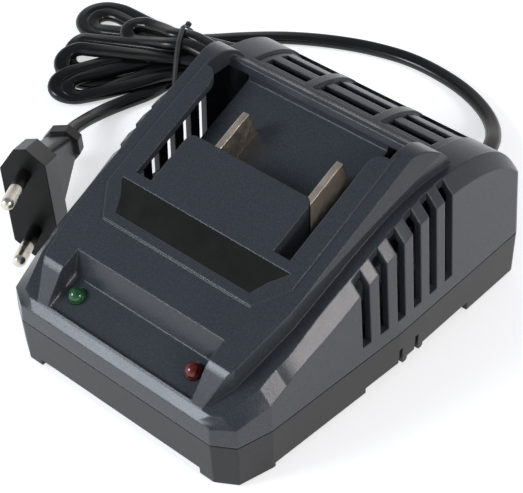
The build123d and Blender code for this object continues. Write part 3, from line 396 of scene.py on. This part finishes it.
# ---------------------------------------------------------------- materials
# Noise scales are repeats in a metre. Depths, scratches, marks and edges are in metres. The first
# of a pair goes with the low values of the noise, the second with its high ones.
EDGE_SAMPLES = 6
EVEN = (1.0, 1.0, 1.0)
WHITE = (1.0, 1.0, 1.0)

# moulded plastic with a grain: the stops of its painted shade in the hollows, its plain tint and
# its painted highlight on the grain tops, and the broad clouds
GRAIN_STOPS = (0.30, 0.52, 0.72)
# painted shade: how much darker the hollows between the grains are painted
GRAIN_HOLLOW_SHADE = 0.72
CLOUD_SCALE = 45.0
CLOUD_STOPS = (0.1, 0.9)
CLOUD_COLOUR = (0.9, 0.9, 0.9)
CLOUD_ROUGH = 0.05
MOULD_GRAIN = 2400.0

# smooth plastic: its flow marks and fine scratches
FLOW_SCALE = 120.0
SCRATCH_SCALE = 1500.0
FLOW_TINTS = (0.85, 1.12)
FLOW_ROUGH = (-0.06, 0.08)

# metal: its drawing marks and broad stains
STREAK_SCALE = 420.0
STAIN_SCALE = 160.0
STAIN_TINTS = (0.86, 1.06)
STREAK_ROUGH = (-0.08, 0.12)
DRAWN = (1.0, 1.0, 14.0)

# the stops of a tint that has two shades
TINT_STOPS = (0.3, 0.7)

# the indicator lamps' lenses, and clear glass
LENS_SCALE = 700.0
LENS_STOPS = (0.35, 0.65)
LENS_ROUGH = 0.12
LENS_CLEAR = 0.1
LENS_COAT = 0.2
LENS_COAT_ROUGH = 0.08
GLASS_SCALE = 600.0
GLASS_ROUGH = 0.04
GLASS_CLEAR = 0.9
RIPPLE = 0.00001


def new_material(name):
    """An empty material, its tree, its shader and the place in the object's own coordinates."""
    material = bpy.data.materials.new(name)
    material.use_nodes = True
    tree = material.node_tree
    tree.nodes.clear()
    output = tree.nodes.new("ShaderNodeOutputMaterial")
    shader = tree.nodes.new("ShaderNodeBsdfPrincipled")
    tree.links.new(shader.outputs["BSDF"], output.inputs["Surface"])
    place = tree.nodes.new("ShaderNodeTexCoord")
    return material, tree, shader, place.outputs["Object"]


def noise(tree, place, scale, detail=2.0, roughness=0.5, stretch=None):
    """Procedural noise at a place, which may be drawn out along an axis."""
    if stretch:
        mapping = tree.nodes.new("ShaderNodeMapping")
        mapping.inputs["Scale"].default_value = stretch
        tree.links.new(place, mapping.inputs["Vector"])
        place = mapping.outputs["Vector"]
    node = tree.nodes.new("ShaderNodeTexNoise")
    node.inputs["Scale"].default_value = scale
    node.inputs["Detail"].default_value = detail
    node.inputs["Roughness"].default_value = roughness
    tree.links.new(place, node.inputs["Vector"])
    return node.outputs["Fac"]


def ramp(tree, value, positions, colours):
    """A colour that runs through stops as the value grows."""
    node = tree.nodes.new("ShaderNodeValToRGB")
    band = node.color_ramp
    while len(band.elements) < len(positions):
        band.elements.new(0.5)
    for element, position, colour in zip(band.elements, positions, colours):
        element.position = position
        element.color = (*colour, 1.0)
    tree.links.new(value, node.inputs["Fac"])
    return node.outputs["Color"]


def spread(tree, value, low, high, low_in=0.3, high_in=0.7):
    """The value's middle range, spread from low to high."""
    node = tree.nodes.new("ShaderNodeMapRange")
    node.inputs["From Min"].default_value = low_in
    node.inputs["From Max"].default_value = high_in
    node.inputs["To Min"].default_value = low
    node.inputs["To Max"].default_value = high
    tree.links.new(value, node.inputs["Value"])
    return node.outputs["Result"]


def bump(tree, shader, height, distance, edge=0.0):
    """Relief from a height, over edges that are softened by a small radius."""
    node = tree.nodes.new("ShaderNodeBump")
    node.inputs["Distance"].default_value = distance
    tree.links.new(height, node.inputs["Height"])
    if edge:
        soft = tree.nodes.new("ShaderNodeBevel")
        soft.samples = EDGE_SAMPLES
        soft.inputs["Radius"].default_value = edge
        tree.links.new(soft.outputs["Normal"], node.inputs["Normal"])
    tree.links.new(node.outputs["Normal"], shader.inputs["Normal"])


def shades(colour, factors):
    """Darker and brighter shades of a colour."""
    return [tuple(min(1.0, channel * factor) for channel in colour) for factor in factors]


def textured_plastic(name, colour, rough, grain, depth, grain_top_highlight, gloss=0.5, edge=0.0):
    """Moulded plastic with a fine spark-eroded grain, with painted shade in the hollows of its
    grain and a painted highlight on the tops of its grains.
    """
    material, tree, shader, place = new_material(name)
    fine = noise(tree, place, grain, detail=3.0, roughness=0.6)
    broad = noise(tree, place, CLOUD_SCALE, detail=3.0)
    mix = tree.nodes.new("ShaderNodeMix")
    mix.data_type = "RGBA"
    mix.blend_type = "MULTIPLY"
    mix.inputs["Factor"].default_value = 1.0
    # painted shade in the grain's hollows and a painted highlight on its tops, from the same noise
    # that makes the bump
    tint = ramp(tree, fine, GRAIN_STOPS, shades(colour, (GRAIN_HOLLOW_SHADE, 1.0, grain_top_highlight)))
    cloud = ramp(tree, broad, CLOUD_STOPS, (CLOUD_COLOUR, WHITE))
    tree.links.new(tint, mix.inputs["A"])
    tree.links.new(cloud, mix.inputs["B"])
    tree.links.new(mix.outputs["Result"], shader.inputs["Base Color"])
    roughness = spread(tree, broad, rough - CLOUD_ROUGH, rough + CLOUD_ROUGH, *CLOUD_STOPS)
    tree.links.new(roughness, shader.inputs["Roughness"])
    shader.inputs["Specular IOR Level"].default_value = gloss
    bump(tree, shader, fine, depth, edge)
    return material


def smooth_plastic(name, colour, rough, scratch=0.00002, coat=0.0, gloss=0.5):
    """Smooth moulded plastic with faint flow marks and handling wear in its gloss."""
    material, tree, shader, place = new_material(name)
    broad = noise(tree, place, FLOW_SCALE, detail=4.0, roughness=0.6)
    fine = noise(tree, place, SCRATCH_SCALE)
    tint = ramp(tree, broad, TINT_STOPS, shades(colour, FLOW_TINTS))
    tree.links.new(tint, shader.inputs["Base Color"])
    roughness = spread(tree, broad, rough + FLOW_ROUGH[0], rough + FLOW_ROUGH[1])
    tree.links.new(roughness, shader.inputs["Roughness"])
    shader.inputs["Specular IOR Level"].default_value = gloss
    shader.inputs["Coat Weight"].default_value = coat
    bump(tree, shader, fine, scratch)
    return material


def metal(name, colour, rough, stretch=EVEN, mark=0.00002, edge=0.0):
    """Plated or bare sheet metal, with fine marks that may be drawn out along one direction."""
    material, tree, shader, place = new_material(name)
    streak = noise(tree, place, STREAK_SCALE, detail=3.0, roughness=0.6, stretch=stretch)
    broad = noise(tree, place, STAIN_SCALE, detail=3.0)
    tint = ramp(tree, broad, TINT_STOPS, shades(colour, STAIN_TINTS))
    tree.links.new(tint, shader.inputs["Base Color"])
    roughness = spread(tree, streak, rough + STREAK_ROUGH[0], rough + STREAK_ROUGH[1])
    tree.links.new(roughness, shader.inputs["Roughness"])
    shader.inputs["Metallic"].default_value = 1.0
    bump(tree, shader, streak, mark, edge)
    return material


def lens(name, colour, deep):
    """The clear tinted dome of a light, its tint changing in soft patches between a deeper and a
    lighter colour.
    """
    material, tree, shader, place = new_material(name)
    broad = noise(tree, place, LENS_SCALE)
    tint = ramp(tree, broad, LENS_STOPS, (deep, colour))
    tree.links.new(tint, shader.inputs["Base Color"])
    shader.inputs["Roughness"].default_value = LENS_ROUGH
    shader.inputs["Transmission Weight"].default_value = LENS_CLEAR
    shader.inputs["Coat Weight"].default_value = LENS_COAT
    shader.inputs["Coat Roughness"].default_value = LENS_COAT_ROUGH
    bump(tree, shader, broad, RIPPLE)
    return material


def glass(name, colour):
    """Clear glass with a faint ripple."""
    material, tree, shader, place = new_material(name)
    wave = noise(tree, place, GLASS_SCALE)
    shader.inputs["Base Color"].default_value = (*colour, 1.0)
    shader.inputs["Roughness"].default_value = GLASS_ROUGH
    shader.inputs["Transmission Weight"].default_value = GLASS_CLEAR
    bump(tree, shader, wave, RIPPLE)
    return material


# the outside of the charger
housing = textured_plastic(
    "housing_grain", (0.040, 0.046, 0.055), rough=0.25, grain=MOULD_GRAIN, depth=0.00003,
    grain_top_highlight=1.35, gloss=0.42, edge=0.0006)
housing_base = textured_plastic(
    "base_grain", (0.027, 0.027, 0.0285), rough=0.36, grain=MOULD_GRAIN, depth=0.00003,
    grain_top_highlight=1.3, gloss=0.27, edge=0.0005)
label = smooth_plastic("label_plate_satin", (0.010, 0.010, 0.0075), rough=0.28, gloss=0.4)
rubber = textured_plastic(
    "foot_rubber", (0.022, 0.022, 0.022), rough=0.75, grain=1800.0, depth=0.00004,
    grain_top_highlight=1.3, gloss=0.3)
nickel = metal(
    "blade_nickel", (0.66, 0.57, 0.46), rough=0.37, mark=0.000001, edge=0.0005)
steel = metal("zinc_steel", (0.55, 0.55, 0.56), rough=0.36)
green_lens = lens("lens_green", colour=(0.022, 0.12, 0.046), deep=(0.008, 0.05, 0.018))
red_lens = lens("lens_red", colour=(0.17, 0.008, 0.008), deep=(0.06, 0.004, 0.004))

# the cord, its tie and the plug
cord_vinyl = smooth_plastic(
    "cord_vinyl", (0.0070, 0.0070, 0.0067), rough=0.21, scratch=0.00001, gloss=0.4)
tie_vinyl = textured_plastic(
    "tie_vinyl", (0.030, 0.030, 0.031), rough=0.45, grain=1600.0, depth=0.00003, grain_top_highlight=1.3)
plug_vinyl = textured_plastic(
    "plug_vinyl", (0.009, 0.009, 0.009), rough=0.34, grain=2200.0, depth=0.00003,
    grain_top_highlight=1.3, gloss=0.27, edge=0.0005)
pin_nickel = metal("pin_nickel", (0.74, 0.69, 0.60), rough=0.26)

# the inside
block = textured_plastic(
    "block_moulding", (0.030, 0.030, 0.031), rough=0.5, grain=MOULD_GRAIN, depth=0.00004,
    grain_top_highlight=1.3)
board = smooth_plastic("board_mask", (0.010, 0.065, 0.028), rough=0.36, scratch=0.00004)
ferrite = textured_plastic(
    "ferrite_sinter", (0.055, 0.055, 0.06), rough=0.6, grain=3000.0, depth=0.00005, grain_top_highlight=1.4)
bobbin = smooth_plastic("bobbin_nylon", (0.62, 0.58, 0.46), rough=0.42)
copper = metal(
    "winding_copper", (0.70, 0.34, 0.16), rough=0.30, stretch=(20.0, 1.0, 1.0), mark=0.00008)
aluminium = metal("sink_aluminium", (0.75, 0.76, 0.78), rough=0.38, stretch=DRAWN)
can = smooth_plastic("can_sleeve_pvc", (0.02, 0.03, 0.07), rough=0.25, coat=0.3)
film = smooth_plastic(
    "film_case_epoxy", (0.60, 0.45, 0.08), rough=0.36, scratch=0.00003, coat=0.2)
chip = textured_plastic(
    "chip_epoxy", (0.020, 0.020, 0.021), rough=0.5, grain=3200.0, depth=0.00002, grain_top_highlight=1.2)
fuse_glass = glass("fuse_glass_clear", (0.88, 0.91, 0.91))
resistor = smooth_plastic(
    "resistor_lacquer", (0.55, 0.42, 0.25), rough=0.36, scratch=0.00003, coat=0.2)
red_wire = smooth_plastic("wire_red", (0.36, 0.02, 0.02), rough=0.36)
core_wire = smooth_plastic("wire_core", (0.24, 0.12, 0.05), rough=0.4)

NODE_MATERIALS = {
    "upper_housing": housing,
    "lower_housing": housing_base,
    "label_plate": label,
    "rubber_feet": rubber,
    "housing_screws": steel,
    "terminal_block": block,
    "led_green": green_lens,
    "led_red": red_lens,
    "led_leads": steel,
    "circuit_board": board,
    "board_screws": steel,
    "output_wires": red_wire,
    "strain_relief": cord_vinyl,
    "inner_cord": cord_vinyl,
    "cord_clamp": block,
    "clamp_screws": steel,
    "mains_wires": core_wire,
    "plug_body": plug_vinyl,
    "plug_pin_bridge": plug_vinyl,
    "plug_pins": pin_nickel,
    "plug_pin_sleeves": plug_vinyl,
    "contact_blade_left": nickel,
    "contact_blade_right": nickel,
    "transformer_core": ferrite,
    "transformer_bobbin": bobbin,
    "transformer_winding": copper,
    "input_capacitor": can,
    "output_capacitors": can,
    "film_capacitor": film,
    "bridge_rectifier": chip,
    "controller_chip": chip,
    "optocoupler": chip,
    "interference_choke": copper,
    "heat_sink": aluminium,
    "power_transistor": chip,
    "output_rectifier": chip,
    "mains_fuse": fuse_glass,
    "resistors": resistor,
}


def dress(piece, material):
    """Give a piece one material and no other."""
    piece.data.materials.clear()
    piece.data.materials.append(material)


for node_name, node_material in NODE_MATERIALS.items():
    dress(nodes[node_name], node_material)
dress(cord, cord_vinyl)
dress(tie, tie_vinyl)
dress(twist, tie_vinyl)

# ---------------------------------------------------------------- bodies, and the CAD parts that the new pieces stand in for, hidden
for piece in (cord, tie, twist):
    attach(piece, "root")
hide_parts("cord_run", "cord_hank", "cord_tail")
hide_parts("cord_tie")

# ---------------------------------------------------------------- floor, world and lamps
FLOOR_SIDE = 6.0
FLOOR_COLOUR = (0.86, 0.86, 0.86)
FLOOR_ROUGH = 0.9
FLOOR_GLOSS = 0.1
# the glow that only the camera, reflections and glass see, and that turns the pale floor white
FLOOR_LIFT = 0.56

# the room's light, brighter towards the horizon and dim overhead: the sky's height at each end of
# the change, and the colours there
WORLD_STOPS = (0.05, 0.75)
WORLD_COLOURS = ((1.0, 0.98, 0.96), (0.20, 0.22, 0.26))

# two square softboxes: place, side, power and colour
LAMP_AIM = (0.0, 0.0, 0.02)
LAMPS = {
    "left_box": ((-0.62, -0.97, 0.70), 0.5, 9.5, (0.86, 0.93, 1.0)),
    "right_box": ((1.13, -0.02, 0.64), 0.3, 5.0, (1.0, 0.94, 0.93)),
}


def floor_mesh(work):
    """One square on the ground."""
    half = FLOOR_SIDE / 2
    corners = ((-half, -half), (half, -half), (half, half), (-half, half))
    work.faces.new([work.verts.new((x, y, 0.0)) for x, y in corners])


def floor_material():
    """A pale matt floor that the camera sees nearly white, with the object's shadow on it."""
    material, tree, shader, _ = new_material("studio_floor")
    shader.inputs["Base Color"].default_value = (*FLOOR_COLOUR, 1.0)
    shader.inputs["Roughness"].default_value = FLOOR_ROUGH
    shader.inputs["Specular IOR Level"].default_value = FLOOR_GLOSS
    shader.inputs["Emission Color"].default_value = (*WHITE, 1.0)
    rays = tree.nodes.new("ShaderNodeLightPath")
    lift = tree.nodes.new("ShaderNodeMath")
    lift.operation = "MULTIPLY"
    lift.inputs[1].default_value = FLOOR_LIFT
    seen = rays.outputs["Is Camera Ray"]
    for other in ("Is Glossy Ray", "Is Transmission Ray"):
        either = tree.nodes.new("ShaderNodeMath")
        either.operation = "MAXIMUM"
        tree.links.new(seen, either.inputs[0])
        tree.links.new(rays.outputs[other], either.inputs[1])
        seen = either.outputs["Value"]
    tree.links.new(seen, lift.inputs[0])
    tree.links.new(lift.outputs["Value"], shader.inputs["Emission Strength"])
    return material


def add_world():
    """Soft light from the whole room, and plain white where the camera sees past the floor."""
    world = bpy.data.worlds.new("studio")
    bpy.context.scene.world = world
    world.use_nodes = True
    tree = world.node_tree
    tree.nodes.clear()
    output = tree.nodes.new("ShaderNodeOutputWorld")
    place = tree.nodes.new("ShaderNodeTexCoord")
    apart = tree.nodes.new("ShaderNodeSeparateXYZ")
    tree.links.new(place.outputs["Generated"], apart.inputs["Vector"])
    room = ramp(tree, apart.outputs["Z"], WORLD_STOPS, WORLD_COLOURS)
    rays = tree.nodes.new("ShaderNodeLightPath")
    seen = tree.nodes.new("ShaderNodeMix")
    seen.data_type = "RGBA"
    seen.inputs["B"].default_value = (*WHITE, 1.0)
    tree.links.new(rays.outputs["Is Camera Ray"], seen.inputs["Factor"])
    tree.links.new(room, seen.inputs["A"])
    soft = tree.nodes.new("ShaderNodeBackground")
    tree.links.new(seen.outputs["Result"], soft.inputs["Color"])
    tree.links.new(soft.outputs["Background"], output.inputs["Surface"])


def add_lamp(name, place, side, power, colour):
    """A square softbox that is aimed at the charger."""
    data = bpy.data.lights.new(name, "AREA")
    data.shape = "SQUARE"
    data.size = side
    data.energy = power
    data.color = colour
    lamp = link(name, data)
    lamp.location = place
    lamp.rotation_mode = "QUATERNION"
    lamp.rotation_quaternion = (Vector(LAMP_AIM) - Vector(place)).to_track_quat("-Z", "Y")


floor = mesh_object("studio_floor", floor_mesh)
dress(floor, floor_material())
add_world()
for lamp_name, lamp_values in LAMPS.items():
    add_lamp(lamp_name, *lamp_values)
